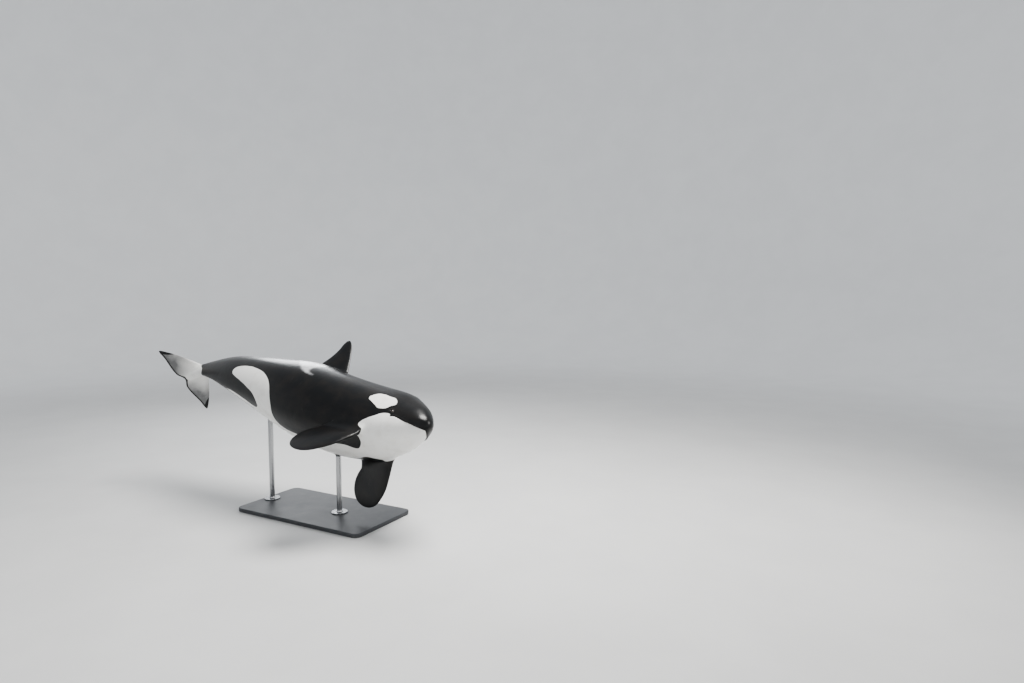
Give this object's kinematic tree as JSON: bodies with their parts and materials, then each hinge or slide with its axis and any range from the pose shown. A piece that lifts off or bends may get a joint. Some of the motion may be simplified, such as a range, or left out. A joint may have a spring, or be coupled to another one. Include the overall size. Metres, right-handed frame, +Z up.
{
  "type": "orca model",
  "caption": "Life-size still model of an orca in a banked swimming turn, held over a flat base by short steel rods.",
  "frame": {"origin": "the middle of the display base's underside, on the floor", "axes": "+X the way the torso heads, +Y to its left, +Z up"},
  "size_m": [5.5147, 2.0053, 2.5419],
  "materials": {
    "skin_black": "smooth, satin to glossy black whale skin",
    "skin_white": "smooth, satin to glossy white whale skin",
    "eye": "wet, glossy dark brown",
    "stand_base": "matt charcoal paint",
    "stand_steel": "brushed steel"
  },
  "bodies": {
    "root": {"head": "skin_black", "lower_jaw": "skin_white", "eye_left": "eye", "eye_right": "eye", "torso_front": "skin_black", "torso_middle": "skin_black", "torso_rear": "skin_black", "tail_stock": "skin_black", "dorsal_fin": "skin_black", "flipper_left": "skin_black", "flipper_right": "skin_black", "fluke_left": "skin_white", "fluke_right": "skin_white", "stand_base": "stand_base", "stand_rod_front": "stand_steel", "stand_rod_rear": "stand_steel"}
  },
  "joints": []
}
